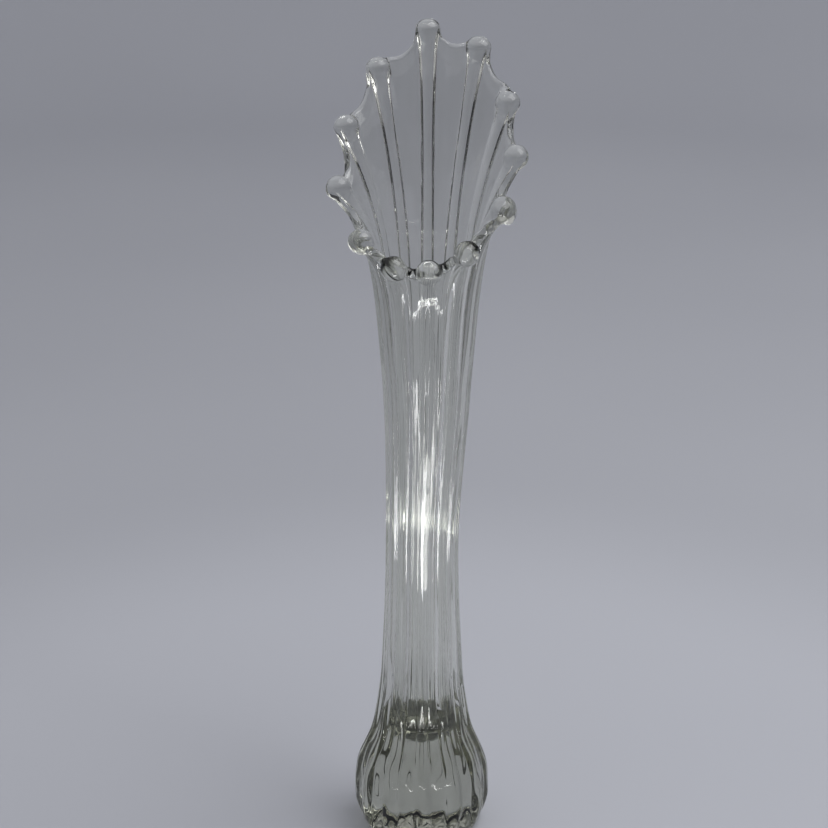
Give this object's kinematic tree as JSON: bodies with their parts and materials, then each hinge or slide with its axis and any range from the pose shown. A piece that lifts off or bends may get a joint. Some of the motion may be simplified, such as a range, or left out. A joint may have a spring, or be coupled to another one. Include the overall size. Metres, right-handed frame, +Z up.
{
  "type": "bud vase",
  "caption": "Tall swung glass bud vase with a round solid base, slim ribbed neck and a steeply slanted flared mouth edged with rounded knobs",
  "frame": {"origin": "centre of the flat underside of the foot, on the surface the vase stands on", "axes": "+Z up along the column, -Y towards the low front of the slanted mouth, +X to the right seen from the front"},
  "size_m": [0.0818, 0.0803, 0.3502],
  "materials": {
    "glass": "clear fire-polished glass"
  },
  "bodies": {
    "root": {"foot": "glass", "bulb": "glass", "column": "glass", "mouth": "glass", "finger_01": "glass", "finger_02": "glass", "finger_03": "glass", "finger_04": "glass", "finger_05": "glass", "finger_06": "glass", "finger_07": "glass", "finger_08": "glass", "finger_09": "glass", "finger_10": "glass", "finger_11": "glass", "finger_12": "glass"}
  },
  "joints": []
}
